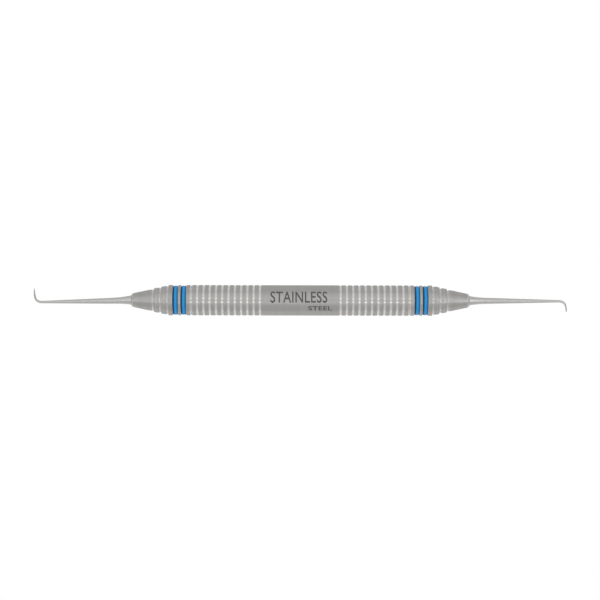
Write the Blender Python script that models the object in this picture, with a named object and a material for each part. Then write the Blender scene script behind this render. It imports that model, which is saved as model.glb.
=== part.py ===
"""A double-ended hand scaler, built from the pieces that it is assembled from.

The grip is a thin steel tube with turned finger grooves on both sides of a smooth middle band.
Each end of the tube is closed by a turned end piece. Its spigot is bonded into the tube, its two
seats carry silicone colour rings, and its stepped nose is drilled for a working end. A working end
is one rod of hard steel: a knurled tang in the nose, a tapered shank, a bend and a small sickle blade.

Metres, +Z up. X runs along the handle. The origin is on the surface that the handle lies on, below
the middle of the handle. Both hooks lie in the horizontal plane through the handle's axis.
"""

import math

import bmesh
import bpy
from mathutils import Vector

MM = 0.001

# ---------------------------------------------------------------- sizes

OVERALL_LENGTH = 167.6 * MM  # between the outermost points of the two hooks

# Handle tube
HANDLE_DIAMETER = 9.525 * MM
TUBE_WALL = 0.65 * MM
BAND_LENGTH = 25.25 * MM  # the smooth middle band, between the middles of the grooves beside it
GROOVES_PER_SIDE = 11
GROOVE_PITCH = 1.96 * MM
GROOVE_WIDTH = 0.62 * MM
GROOVE_DEPTH = 0.18 * MM
GROOVE_FLOOR = 0.24 * MM  # the flat at the bottom of a groove
LEAD_IN = 0.15 * MM  # the chamfer that starts a spigot or a tang into its bore

# Fits between pieces that touch on the real instrument
BOND_GAP = 0.05 * MM  # the film of retaining compound round a spigot or a tang
RING_GAP = 0.04 * MM  # a stretched ring against its seat

# End piece, from the seam outwards
SPIGOT_LENGTH = 8.0 * MM
SPIGOT_GROOVES = 2
SPIGOT_GROOVE_WIDTH = 0.8 * MM
SPIGOT_GROOVE_DEPTH = 0.2 * MM
LIGHTENING_WALL = 1.1 * MM  # the spigot's wall round its lightening bore
BORE_WEB = 1.85 * MM  # between the lightening bore and the point of the tang's bore
FIRST_SEAT = 2.39 * MM  # from the seam to the middle of the first ring seat
SEAT_PITCH = 2.54 * MM
SEAT_WIDTH = 1.74 * MM
SEAT_DEPTH = 1.15 * MM
EDGE_BREAK = 0.08 * MM  # the small chamfer at the rim of a seat or a bore
END_LAND = 1.34 * MM  # the full-diameter land beyond the second ring
NECK_WIDTH = 0.45 * MM  # the narrow groove before each step of the nose
NECK_DEPTH = 0.20 * MM
RIB_LENGTH = 1.90 * MM
RIB_ROLL = 0.85 * MM  # the part of a rib that rolls off towards the tip
FIRST_STEP = 0.36 * MM  # how far each step stands below the one before it
SECOND_STEP = 0.51 * MM
THIRD_STEP = 0.55 * MM
NOSE_LENGTH = 6.55 * MM
NOSE_SWELL = 0.10 * MM  # how far the cone swells beyond a straight taper
SWELL_PLACE = 1.30 * MM  # from the cone's start to where it swells the most
NOSE_WALL = 0.55 * MM  # round the tang's bore, at the nose's small end
NOSE_ROUND = 0.40 * MM  # the rounded rim at the nose's mouth
DRILL_POINT = math.radians(118)  # the cone at the bottom of the tang's bore

# Colour ring
RING_RECESS = 0.16 * MM  # the crown of a ring stands this far below the land beside it
RING_CROWN = 0.45 * MM  # how much higher its middle is than its shoulders

# Working end
TANG_DIAMETER = 3.00 * MM
TANG_LENGTH = 13.5 * MM
TANG_END_GAP = 0.5 * MM  # between the tang's end and the bottom of its bore
KNURL_LENGTH = 7.0 * MM
KNURL_FROM_MOUTH = 3.5 * MM
KNURL_HEIGHT = 0.12 * MM
SHANK_START_DIAMETER = 2.20 * MM  # of the plain taper, carried back to the nose's mouth
SHANK_END_DIAMETER = 0.77 * MM
ROOT_FLARE = 5.0 * MM  # the hollow fillet from the tang's diameter to the taper
TIP_DEPTH = 0.08 * MM
BLADE_SHARPNESS = 0.85  # 0 is a round section, 1 a triangle with sharp corners
TRIANGLE_FLAT = 0.62  # from the middle to a triangle's flat side, as a share of the round's radius

# The two blades differ: the left is the longer one, and its shank is set back from its hook.
# Depths are measured in the plane of the bend.
LEFT_END = {
    "set_back": math.radians(1.4),
    "bend": math.radians(80.0),
    "bend_radius": 2.10 * MM,
    "blade_length": 2.78 * MM,
    "blade_curve": math.radians(12.0),
    "blade_depth": 0.66 * MM,
    "point_depth": 0.22 * MM,
}
RIGHT_END = {
    "set_back": math.radians(-0.2),
    "bend": math.radians(80.0),
    "bend_radius": 2.20 * MM,
    "blade_length": 1.55 * MM,
    "blade_curve": math.radians(10.0),
    "blade_depth": 0.47 * MM,
    "point_depth": 0.40 * MM,
}

# How finely round shapes are cut into flats
FACETS = 32
SECTION_POINTS = 24
ARC_POINTS = 4
SHANK_STATIONS = 9
SHANK_BUNCHING = 1.6  # above 1, the stations stand closer together at the root
BEND_STATIONS = 9
BLADE_STATIONS = 5
POINT_SHARE = 0.22  # the last part of the blade, which narrows to the point
SMOOTH_UP_TO = math.radians(25)
MERGE_DISTANCE = 0.0001 * MM

# ---------------------------------------------------------------- sizes that follow from those

HANDLE_RADIUS = HANDLE_DIAMETER / 2
AXIS_HEIGHT = HANDLE_RADIUS * math.cos(math.pi / FACETS)
BORE_RADIUS = HANDLE_RADIUS - TUBE_WALL
SEAM = BAND_LENGTH / 2 + GROOVES_PER_SIDE * GROOVE_PITCH
SPIGOT_RADIUS = BORE_RADIUS - BOND_GAP
SEAT_RADIUS = HANDLE_RADIUS - SEAT_DEPTH
TANG_RADIUS = TANG_DIAMETER / 2
TANG_BORE_RADIUS = TANG_RADIUS + BOND_GAP
NOSE_TIP_RADIUS = TANG_BORE_RADIUS + NOSE_WALL
SEAT_CENTRES = (FIRST_SEAT, FIRST_SEAT + SEAT_PITCH)
LAND_END = SEAT_CENTRES[-1] + SEAT_WIDTH / 2 + END_LAND
MOUTH = LAND_END + 2 * (NECK_WIDTH + RIB_LENGTH) + NECK_WIDTH + NOSE_LENGTH
TANG_BORE_END = MOUTH - TANG_LENGTH - TANG_END_GAP
TANG_BORE_POINT = TANG_BORE_END - TANG_BORE_RADIUS / math.tan(DRILL_POINT / 2)

# ---------------------------------------------------------------- materials


def finish(name, colour, metallic, roughness):
    """A plain material with this colour."""
    material = bpy.data.materials.new(name)
    material.use_nodes = True
    shader = material.node_tree.nodes["Principled BSDF"]
    shader.inputs["Base Color"].default_value = (*colour, 1)
    shader.inputs["Metallic"].default_value = metallic
    shader.inputs["Roughness"].default_value = roughness
    return material


# ---------------------------------------------------------------- turned pieces


def turned(name, outline, closed):
    """A lathe-turned mesh: the outline's (distance along the axis, radius) points spun round X.

    A closed outline makes a tube or a ring. An open one starts and ends on the axis.
    """
    shape = bmesh.new()
    start = math.pi / FACETS
    corners = [
        shape.verts.new((along, radius * math.sin(start), radius * math.cos(start)))
        for along, radius in outline
    ]
    pairs = list(zip(corners, corners[1:]))
    if closed:
        pairs.append((corners[-1], corners[0]))
    edges = [shape.edges.new(pair) for pair in pairs]
    bmesh.ops.spin(
        shape,
        geom=corners + edges,
        cent=(0, 0, 0),
        axis=(1, 0, 0),
        dvec=(0, 0, 0),
        angle=math.tau,
        steps=FACETS,
        use_merge=False,
    )
    bmesh.ops.remove_doubles(shape, verts=shape.verts, dist=MERGE_DISTANCE)
    return finished(shape, name)


def finished(shape, name):
    """The bmesh as a mesh with its faces pointing out and its round sides smooth."""
    bmesh.ops.recalc_face_normals(shape, faces=shape.faces)
    mesh = bpy.data.meshes.new(name)
    shape.to_mesh(mesh)
    shape.free()
    mesh.shade_smooth()
    mesh.set_sharp_from_angle(angle=SMOOTH_UP_TO)
    return mesh


def finger_groove(middle):
    """The four corners of a finger groove, at this distance along the axis."""
    half_top = GROOVE_WIDTH / 2
    half_floor = GROOVE_FLOOR / 2
    bottom = HANDLE_RADIUS - GROOVE_DEPTH
    return [
        (middle - half_top, HANDLE_RADIUS),
        (middle - half_floor, bottom),
        (middle + half_floor, bottom),
        (middle + half_top, HANDLE_RADIUS),
    ]


def tube_outline():
    """The handle tube: grooves along the outside, and the bore back along the inside.

    Half a groove at each end makes a whole one with the end piece, so that it hides the seam.
    """
    end = SEAM - BOND_GAP / 2
    bottom = HANDLE_RADIUS - GROOVE_DEPTH
    middles = [BAND_LENGTH / 2 + GROOVE_PITCH * n for n in range(GROOVES_PER_SIDE)]
    outline = [(-end, bottom)] + finger_groove(-SEAM)[2:]
    for middle in [-x for x in reversed(middles)] + middles:
        outline += finger_groove(middle)
    outline += finger_groove(SEAM)[:2] + [(end, bottom)]
    outline += [
        (end, BORE_RADIUS + LEAD_IN),
        (end - LEAD_IN, BORE_RADIUS),
        (-end + LEAD_IN, BORE_RADIUS),
        (-end, BORE_RADIUS + LEAD_IN),
    ]
    return outline


def spigot_outline():
    """The inner half of an end piece, from the axis to the seam, along the outside."""
    inner = -SPIGOT_LENGTH
    lightening = SPIGOT_RADIUS - LIGHTENING_WALL
    outline = [
        (TANG_BORE_POINT - BORE_WEB, 0),
        (TANG_BORE_POINT - BORE_WEB, lightening),
        (inner, lightening),
        (inner, SPIGOT_RADIUS - LEAD_IN),
        (inner + LEAD_IN, SPIGOT_RADIUS),
    ]
    spacing = SPIGOT_LENGTH / (SPIGOT_GROOVES + 1)
    for n in range(SPIGOT_GROOVES):
        middle = inner + spacing * (n + 1)
        outline += [
            (middle - SPIGOT_GROOVE_WIDTH / 2, SPIGOT_RADIUS),
            (middle - SPIGOT_GROOVE_WIDTH / 4, SPIGOT_RADIUS - SPIGOT_GROOVE_DEPTH),
            (middle + SPIGOT_GROOVE_WIDTH / 4, SPIGOT_RADIUS - SPIGOT_GROOVE_DEPTH),
            (middle + SPIGOT_GROOVE_WIDTH / 2, SPIGOT_RADIUS),
        ]
    return outline


def rib_outline(start, crest, foot):
    """One rib of the stepped nose: a short rise, a straight crest, and a quarter ellipse down to foot."""
    rise = NECK_DEPTH / 2
    roll_start = start + RIB_LENGTH - RIB_ROLL
    outline = [(start, crest - rise), (start + rise, crest)]
    for n in range(ARC_POINTS + 1):
        angle = math.pi / 2 * n / ARC_POINTS
        along = roll_start + RIB_ROLL * math.sin(angle)
        outline.append((along, foot + (crest - foot) * math.cos(angle)))
    return outline


def end_piece_outline():
    """An end piece, from the axis inside the spigot round to the axis at the bottom of the tang's bore."""
    shoulder = BOND_GAP / 2
    outline = spigot_outline()
    outline += [(shoulder, SPIGOT_RADIUS), (shoulder, HANDLE_RADIUS - GROOVE_DEPTH)]
    outline += finger_groove(0.0)[2:]
    half = SEAT_WIDTH / 2
    for middle in SEAT_CENTRES:
        outline += [
            (middle - half - EDGE_BREAK, HANDLE_RADIUS),
            (middle - half, HANDLE_RADIUS - EDGE_BREAK),
            (middle - half, SEAT_RADIUS),
            (middle + half, SEAT_RADIUS),
            (middle + half, HANDLE_RADIUS - EDGE_BREAK),
            (middle + half + EDGE_BREAK, HANDLE_RADIUS),
        ]
    outline.append((LAND_END, HANDLE_RADIUS))
    start, step_foot = LAND_END, HANDLE_RADIUS
    for drop, next_drop in ((FIRST_STEP, SECOND_STEP), (SECOND_STEP, THIRD_STEP)):
        crest = step_foot - drop
        outline.append((start + NECK_WIDTH / 2, crest - NECK_DEPTH))
        start += NECK_WIDTH
        outline += rib_outline(start, crest, crest - next_drop)
        start += RIB_LENGTH
        step_foot = crest
    base = step_foot - THIRD_STEP
    outline.append((start + NECK_WIDTH / 2, base - NECK_DEPTH))
    start += NECK_WIDTH
    outline.append((start, base - NECK_DEPTH / 2))
    outline.append((start + NECK_DEPTH / 2, base))
    slope = (base - NOSE_TIP_RADIUS) / NOSE_LENGTH
    outline.append((start + SWELL_PLACE, base - slope * SWELL_PLACE + NOSE_SWELL))
    for n in range(ARC_POINTS + 1):
        angle = math.pi / 2 * n / ARC_POINTS
        along = MOUTH - NOSE_ROUND * (1 - math.sin(angle))
        fall = NOSE_ROUND * (1 - math.cos(angle)) - slope * (MOUTH - along)
        outline.append((along, NOSE_TIP_RADIUS - fall))
    outline += [
        (MOUTH, TANG_BORE_RADIUS + EDGE_BREAK),
        (MOUTH - EDGE_BREAK, TANG_BORE_RADIUS),
        (TANG_BORE_END, TANG_BORE_RADIUS),
        (TANG_BORE_POINT, 0),
    ]
    return outline


def ring_outline():
    """A colour ring's section: flat inside and on its flanks, with a crowned outer face."""
    half = SEAT_WIDTH / 2 - RING_GAP
    crown = HANDLE_RADIUS - RING_RECESS
    outline = [(half, SEAT_RADIUS + RING_GAP), (-half, SEAT_RADIUS + RING_GAP)]
    for n in range(ARC_POINTS + 1):
        share = 2 * n / ARC_POINTS - 1
        outline.append((half * share, crown - RING_CROWN * share**2))
    return outline


# ---------------------------------------------------------------- working ends


def section(depth, sharpness):
    """One cross-section as (towards the inside of the bend, sideways) pairs.

    The distance from the middle runs from that of a circle to that of a triangle with a flat side
    towards the inside of the bend, as a sickle blade has.
    """
    radius = depth / (2 * (1 - sharpness) + 3 * TRIANGLE_FLAT * sharpness)
    pairs = []
    for n in range(SECTION_POINTS):
        angle = math.tau * n / SECTION_POINTS
        from_flat = (angle + math.pi / 3) % (math.tau / 3) - math.pi / 3
        reach = radius * ((1 - sharpness) + sharpness * TRIANGLE_FLAT / math.cos(from_flat))
        pairs.append((reach * math.cos(angle), reach * math.sin(angle)))
    return pairs


def knurled(pairs):
    """The same cross-section with every other point pressed in."""
    share = 1 - 2 * KNURL_HEIGHT / TANG_DIAMETER
    return [(u * share, v * share) if n % 2 else (u, v) for n, (u, v) in enumerate(pairs)]


def ring_at(place, direction, pairs):
    """The points of a cross-section that stands across this direction in the XY plane."""
    inward = Vector((math.sin(direction), -math.cos(direction), 0))
    sideways = Vector((0, 0, 1))
    return [place + inward * u + sideways * v for u, v in pairs]


def on_arc(start, direction, radius, angle):
    """The point reached after turning by an angle towards -Y, round an arc of this radius."""
    along = Vector((math.cos(direction), math.sin(direction), 0))
    inward = Vector((math.sin(direction), -math.cos(direction), 0))
    return start + along * radius * math.sin(angle) + inward * radius * (1 - math.cos(angle))


def tang_rings():
    """The tang's cross-sections, from its inner end to the nose's mouth."""
    knurl_end = -KNURL_FROM_MOUTH
    knurl_start = knurl_end - KNURL_LENGTH
    plain = TANG_DIAMETER - 2 * KNURL_HEIGHT
    stations = [
        (-TANG_LENGTH, plain - 2 * LEAD_IN, False),
        (-TANG_LENGTH + LEAD_IN, plain, False),
        (knurl_start, plain, False),
        (knurl_start + KNURL_HEIGHT, TANG_DIAMETER, True),
        (knurl_end - KNURL_HEIGHT, TANG_DIAMETER, True),
        (knurl_end, plain, False),
        (knurl_end + KNURL_HEIGHT, TANG_DIAMETER, False),
        (0.0, TANG_DIAMETER, False),
    ]
    rings = []
    for along, diameter, is_knurled in stations:
        pairs = section(diameter, 0.0)
        if is_knurled:
            pairs = knurled(pairs)
        rings.append(ring_at(Vector((along, 0, 0)), 0.0, pairs))
    return rings


def shank_rings(length, heading):
    """The shank's cross-sections beyond the mouth: a plain taper with a hollow flare at its root."""
    rings = []
    for n in range(1, SHANK_STATIONS + 1):
        share = (n / SHANK_STATIONS) ** SHANK_BUNCHING
        taper = SHANK_START_DIAMETER * (1 - share) + SHANK_END_DIAMETER * share
        nearness = max(0.0, 1 - length * share / ROOT_FLARE)
        diameter = taper + (TANG_DIAMETER - SHANK_START_DIAMETER) * nearness**2
        place = Vector((math.cos(heading), math.sin(heading), 0)) * length * share
        rings.append(ring_at(place, heading, section(diameter, 0.0)))
    return rings


def hook_rings(end):
    """The bend's and the blade's cross-sections, from the end of the shank at the origin."""
    rings = []
    heading = end["set_back"]
    for n in range(1, BEND_STATIONS + 1):
        share = n / BEND_STATIONS
        angle = end["bend"] * share
        depth = SHANK_END_DIAMETER * (1 - share) + end["blade_depth"] * share
        sharpness = BLADE_SHARPNESS * max(0.0, 2 * share - 1)
        place = on_arc(Vector((0, 0, 0)), heading, end["bend_radius"], angle)
        rings.append(ring_at(place, heading - angle, section(depth, sharpness)))
    root = on_arc(Vector((0, 0, 0)), heading, end["bend_radius"], end["bend"])
    heading -= end["bend"]
    blade_radius = end["blade_length"] / end["blade_curve"]
    stations = [(1 - POINT_SHARE) * n / BLADE_STATIONS for n in range(1, BLADE_STATIONS + 1)] + [1.0]
    for share in stations:
        angle = end["blade_curve"] * share
        narrowed = share / (1 - POINT_SHARE)
        depth = end["blade_depth"] * (1 - narrowed) + end["point_depth"] * narrowed
        if share == 1.0:
            depth = TIP_DEPTH
        place = on_arc(root, heading, blade_radius, angle)
        rings.append(ring_at(place, heading - angle, section(depth, BLADE_SHARPNESS)))
    return rings


def working_end_mesh(name, end):
    """A working end from the nose's mouth along +X, with its hook turned towards -Y."""
    heading = end["set_back"]
    hook = hook_rings(end)
    hook_reach = max(point.x for ring in hook for point in ring)
    shank_length = (OVERALL_LENGTH / 2 - SEAM - MOUTH - hook_reach) / math.cos(heading)
    shank_end = Vector((math.cos(heading), math.sin(heading), 0)) * shank_length
    rings = tang_rings() + shank_rings(shank_length, heading)
    rings += [[shank_end + point for point in ring] for ring in hook]

    shape = bmesh.new()
    corners = [[shape.verts.new(point) for point in ring] for ring in rings]
    for ring, next_ring in zip(corners, corners[1:]):
        for n in range(SECTION_POINTS):
            m = (n + 1) % SECTION_POINTS
            shape.faces.new((ring[n], ring[m], next_ring[m], next_ring[n]))
    shape.faces.new(corners[0])
    shape.faces.new(corners[-1])
    return finished(shape, name)


# ---------------------------------------------------------------- assembly


def placed(name, mesh, material, parent, along):
    """An object with this mesh, at a distance along its parent's X axis."""
    piece = bpy.data.objects.new(name, mesh)
    bpy.context.scene.collection.objects.link(piece)
    piece.parent = parent
    piece.location = (along, 0, 0)
    if not mesh.materials:
        mesh.materials.append(material)
    return piece


def frame_at(name, parent, location, turn):
    """An empty that carries pieces, turned about Z."""
    empty = bpy.data.objects.new(name, None)
    bpy.context.scene.collection.objects.link(empty)
    empty.parent = parent
    empty.location = location
    empty.rotation_euler = (0, 0, turn)
    return empty


def main():
    for old in list(bpy.data.objects):
        bpy.data.objects.remove(old)

    satin = finish("satin_steel", (0.36, 0.35, 0.335), 1.0, 0.35)
    hard = finish("blade_steel", (0.45, 0.45, 0.44), 1.0, 0.25)
    blue = finish("blue_silicone", (0.03, 0.30, 0.66), 0.0, 0.45)

    axis = frame_at("handle_axis", None, (0, 0, AXIS_HEIGHT), 0.0)
    placed("handle_tube", turned("handle_tube", tube_outline(), True), satin, axis, 0.0)

    end_piece = turned("end_piece", end_piece_outline(), False)
    ring = turned("colour_ring", ring_outline(), True)
    for side, turn, end in (("left", math.pi, LEFT_END), ("right", 0.0, RIGHT_END)):
        side_frame = frame_at(f"{side}_end", axis, (0, 0, 0), turn)
        placed(f"end_piece_{side}", end_piece, satin, side_frame, SEAM)
        for position, middle in zip(("inner", "outer"), SEAT_CENTRES):
            placed(f"colour_ring_{side}_{position}", ring, blue, side_frame, SEAM + middle)
        mesh = working_end_mesh(f"working_end_{side}", end)
        placed(f"working_end_{side}", mesh, hard, side_frame, SEAM + MOUTH)


main()
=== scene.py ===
# %% [markdown]
# # A double-ended hand scaler
#
# A hygienist scrapes tartar from teeth with this instrument. It is held like a pen. The grip is a thin
# steel tube that a lathe has grooved for the fingers, each end of it is closed by a stepped steel nose
# with two silicone colour rings, and a slim rod with a tiny hooked blade is bonded into each nose.
#
# Nearly everything here is round, so nearly every piece is an outline turned about one axis. The lesson
# is in the small things: the fillet on each groove, the way a rod changes from round to three-sided as
# it bends, and the difference between blasted, turned, ground and moulded surfaces.
#
# The solid model is loaded first. It gives every place and size, and nothing below moves it.

# %% Load the solid model
import math

import bmesh
import bpy
import numpy as np
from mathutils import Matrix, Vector


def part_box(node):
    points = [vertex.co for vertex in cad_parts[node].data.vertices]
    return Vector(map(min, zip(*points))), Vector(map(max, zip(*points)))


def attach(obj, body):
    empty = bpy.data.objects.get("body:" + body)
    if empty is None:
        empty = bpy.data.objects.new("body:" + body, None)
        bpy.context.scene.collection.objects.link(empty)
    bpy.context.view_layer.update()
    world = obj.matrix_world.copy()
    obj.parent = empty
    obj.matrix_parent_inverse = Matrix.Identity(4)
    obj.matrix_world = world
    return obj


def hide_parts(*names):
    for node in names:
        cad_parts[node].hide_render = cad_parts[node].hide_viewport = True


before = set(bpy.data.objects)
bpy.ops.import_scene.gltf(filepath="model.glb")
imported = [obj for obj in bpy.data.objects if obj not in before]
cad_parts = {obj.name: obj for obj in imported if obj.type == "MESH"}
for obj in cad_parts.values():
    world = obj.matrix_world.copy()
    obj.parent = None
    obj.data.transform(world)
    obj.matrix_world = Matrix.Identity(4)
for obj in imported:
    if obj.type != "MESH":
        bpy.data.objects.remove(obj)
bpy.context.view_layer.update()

MM = 0.001

# %% [markdown]
# ## Reading the places from the solid model
#
# The solid model's round pieces have flats, as a nut does, and its box runs from flat to flat. A true
# round through its corners is a little larger: the distance to a flat, divided by the cosine of half
# the angle that one flat covers. The axis is halfway up the handle.

# %% Read the main places
FLATS = 32

tube_low, tube_high = (np.array(corner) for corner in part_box("handle_tube"))
nose_low, nose_high = (np.array(corner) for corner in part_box("end_piece_right"))
AXIS_HEIGHT = (tube_low[2] + tube_high[2]) / 2
HANDLE_RADIUS = (tube_high[2] - tube_low[2]) / 2 / math.cos(math.pi / FLATS)
BOND_GAP = 0.05 * MM
SEAM = tube_high[0] + BOND_GAP / 2
MOUTH = nose_high[0]
SPIGOT_START = nose_low[0]
print("handle radius", round(HANDLE_RADIUS / MM, 3), "mm")
print("seam at", round(SEAM / MM, 2), "mm, nose ends at", round(MOUTH / MM, 2), "mm")

# %% [markdown]
# ## An outline with rounded corners
#
# No corner on a turned part is perfectly sharp: the tool's own nose leaves a small radius, and it is
# that radius that catches the light. So an outline is drawn as plain corners, each with a fillet
# radius, and one function puts in the arcs.
#
# At a corner, the path comes in along a unit direction **a** and turns by an angle w. The arc starts
# a distance f tan(w / 2) before the corner. A point of it, after turning by p, is that start plus
# f sin(p) along **a** plus f (1 - cos(p)) square to **a**, towards the turn. The arcs of all corners
# are worked out at once, as one array.
#
# An arc takes up less than half of the shorter run beside it, so two arcs never meet. Two more points
# stand close to the ends of each straight run. They keep the smooth shading of the arc from spreading
# over the flat beside it.

# %% Rounded outlines
HOLD = 0.03 * MM
FILLET_ROOM = 0.45
OUTWARD_TURN = 0.1
TINY = 1e-9


def rounded_outline(corners, closed, steps):
    """Rows of (distance along the axis, radius, polish, edge) through filleted corners.

    corners holds rows of (distance, radius, fillet radius, polish of the run that follows). A fillet
    blends the polish of its two runs. An open outline keeps its first and last corner as they are.
    edge is 1 on a fillet that turns outwards, away from the material.
    """
    corners = np.array(corners, float)
    spots = corners[:, :2]
    before = np.roll(spots, 1, axis=0)
    after = np.roll(spots, -1, axis=0)
    along_in = spots - before
    along_out = after - spots
    length_in = np.linalg.norm(along_in, axis=1, keepdims=True)
    length_out = np.linalg.norm(along_out, axis=1, keepdims=True)
    along_in /= length_in
    along_out /= length_out
    cross = along_in[:, 0] * along_out[:, 1] - along_in[:, 1] * along_out[:, 0]
    dot = (along_in * along_out).sum(axis=1)
    turn = np.arctan2(cross, dot)
    half_turn = np.tan(np.abs(turn) / 2)
    room = FILLET_ROOM * np.minimum(length_in, length_out)[:, 0]
    reach = np.minimum(corners[:, 2] * half_turn, room)
    radius = reach / np.maximum(half_turn, TINY)
    across = np.stack([-along_in[:, 1], along_in[:, 0]], axis=1) * np.sign(turn)[:, None]
    angle = np.abs(turn)[:, None] * np.linspace(0, 1, steps)[None, :]
    start = spots - along_in * reach[:, None]
    arcs = (
        start[:, None, :]
        + along_in[:, None, :] * (radius[:, None] * np.sin(angle))[:, :, None]
        + across[:, None, :] * (radius[:, None] * (1 - np.cos(angle)))[:, :, None]
    )
    run = np.roll(start, -1, axis=0) - arcs[:, -1]
    run_length = np.linalg.norm(run, axis=1, keepdims=True)
    inset = np.minimum(HOLD, run_length / 4) / run_length
    holds = np.stack([arcs[:, -1] + run * inset, arcs[:, -1] + run * (1 - inset)], axis=1)
    polish_out = corners[:, 3:4]
    polish_in = np.roll(polish_out, 1, axis=0)
    share = np.append(np.linspace(0, 1, steps), [1, 1])
    polish = polish_in + (polish_out - polish_in) * share
    outward = (turn < -OUTWARD_TURN).astype(float)
    edge = np.zeros_like(polish)
    edge[:, 1 : steps - 1] = outward[:, None]
    places = np.concatenate([arcs, holds], axis=1)
    rows = np.concatenate([places, polish[..., None], edge[..., None]], axis=2)
    if closed:
        return rows.reshape(-1, 4)
    first, last = ([[*spots[end], corners[end, 3], 0.0]] for end in (0, -1))
    return np.concatenate([first, rows[1:-1].reshape(-1, 4), last])


# %% [markdown]
# ## From an outline to a turned surface
#
# A turned surface has two parameters: the place along the outline, and the angle round the axis. Its
# points fill a grid, and its faces join neighbours in the grid. The angle's columns always join up, the
# rows join up when the outline is a closed loop, and an outline that starts and ends on the axis is
# closed there with a fan of triangles round a single point.

# %% Meshes from grids
SIDES = 144


def grid_faces(rows, columns, loop):
    """The quads of a grid whose columns join up, and whose rows do too when loop is true."""
    row = np.arange(rows if loop else rows - 1)[:, None]
    column = np.arange(columns)[None, :]
    next_row = (row + 1) % rows
    next_column = (column + 1) % columns
    quads = [row * columns + column, next_row * columns + column,
             next_row * columns + next_column, row * columns + next_column]
    return np.stack(np.broadcast_arrays(*quads), axis=-1).reshape(-1, 4)


def fan_faces(pole, first, columns, at_start):
    """Triangles from one point to a row of grid points, facing out.

    at_start is True where they close the grid's first row, and False where they close its last.
    """
    column = np.arange(columns)
    ring = first + column
    next_ring = first + (column + 1) % columns
    sides = (ring, next_ring) if at_start else (next_ring, ring)
    return np.stack([np.full(columns, pole), *sides], axis=-1)


def put_in_scene(name, data):
    """A new object that holds the given data."""
    made = bpy.data.objects.new(name, data)
    bpy.context.scene.collection.objects.link(made)
    return made


def smooth_mesh(name, points, faces, attributes):
    """A smooth-shaded object from arrays, with a value per point for each attribute."""
    mesh = bpy.data.meshes.new(name)
    mesh.from_pydata(points.tolist(), [], [face for part in faces for face in part.tolist()])
    mesh.shade_smooth()
    for label, values in attributes.items():
        layer = mesh.attributes.new(label, "FLOAT", "POINT")
        layer.data.foreach_set("value", np.asarray(values, np.float32))
    print(name, len(mesh.vertices), "points,", len(mesh.polygons), "faces")
    return put_in_scene(name, mesh)


def turned_piece(name, outline, loop, side=1):
    """An outline turned about the handle's axis. side is -1 for the left end, turned about Z.

    A point at distance x and radius r, at an angle g from straight up, is (x, r sin g, r cos g).
    """
    angle = np.linspace(0, math.tau, SIDES, endpoint=False)
    body = outline if loop else outline[1:-1]
    along = np.broadcast_to(body[:, 0:1], (len(body), SIDES))
    across = body[:, 1:2] * np.sin(angle)
    up = AXIS_HEIGHT + body[:, 1:2] * np.cos(angle)
    points = np.stack([side * along, side * across, up], axis=-1).reshape(-1, 3)
    values = np.repeat(body[:, 2:], SIDES, axis=0)
    faces = [grid_faces(len(body), SIDES, loop)]
    if not loop:
        poles = [[side * x, 0.0, AXIS_HEIGHT] for x in outline[[0, -1], 0]]
        first_pole = len(points)
        points = np.concatenate([points, poles])
        values = np.concatenate([values, outline[[0, -1], 2:]])
        faces.append(fan_faces(first_pole, 0, SIDES, True))
        faces.append(fan_faces(first_pole + 1, (len(body) - 1) * SIDES, SIDES, False))
    return smooth_mesh(name, points, faces, {"polish": values[:, 0], "edge": values[:, 1]})


# %% [markdown]
# ## Shader groups
#
# The finishes share a few small effects, so each effect is a node group, built once:
#
# - **turning marks** are the fine rings that a lathe tool leaves. They change only along the axis.
# - **fine grain** is the frosted skin of bead-blasted steel, or of silicone from a satin mould.
# - **handling marks** are the faint patches where fingers have touched.
# - **worn edges** brighten the steel fillets that rub against trays and cassettes.
#
# Each group takes the object's coordinates as an input and puts out plain values. The shader itself
# stays in the material.

# %% Helpers for building node trees


def set_inputs(tree, node, inputs):
    """Fill a node's inputs, each with a number, a colour, or another node's socket to link from."""
    for label, value in inputs.items():
        if isinstance(value, bpy.types.NodeSocket):
            tree.links.new(value, node.inputs[label])
        else:
            node.inputs[label].default_value = value


def add_node(tree, kind, inputs=None, **settings):
    """A new node, with its settings made before its inputs are filled."""
    made = tree.nodes.new(kind)
    for label, value in settings.items():
        setattr(made, label, value)
    set_inputs(tree, made, inputs or {})
    return made


def maths(tree, operation, first, second=0.0, clamp=False):
    """The result of one Math node."""
    made = add_node(tree, "ShaderNodeMath", {0: first, 1: second}, operation=operation, use_clamp=clamp)
    return made.outputs[0]


def spread(tree, value, low, high, to_low, to_high):
    """A value carried from one range to another, and held inside it."""
    made = add_node(tree, "ShaderNodeMapRange", {
        "Value": value, "From Min": low, "From Max": high, "To Min": to_low, "To Max": to_high})
    return made.outputs["Result"]


def noise(tree, inputs, dimensions="3D"):
    """The value of one Noise Texture node."""
    return add_node(tree, "ShaderNodeTexNoise", inputs, noise_dimensions=dimensions).outputs["Fac"]


def new_group(name, inputs, outputs):
    """An empty shader group. It takes a position and named values, and gives out named values."""
    tree = bpy.data.node_groups.new(name, "ShaderNodeTree")
    tree.interface.new_socket("Position", in_out="INPUT", socket_type="NodeSocketVector")
    for label, default in inputs.items():
        socket = tree.interface.new_socket(label, in_out="INPUT", socket_type="NodeSocketFloat")
        socket.default_value = default
    for label in outputs:
        tree.interface.new_socket(label, in_out="OUTPUT", socket_type="NodeSocketFloat")
    enter = tree.nodes.new("NodeGroupInput")
    leave = tree.nodes.new("NodeGroupOutput")
    return tree, enter.outputs, leave.inputs


def use_group(tree, group, inputs):
    """The outputs of a placed copy of a shader group, with its own values."""
    return add_node(tree, "ShaderNodeGroup", inputs, node_tree=group).outputs


# %% Turning marks
LANDS_PER_MM = 0.55


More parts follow.
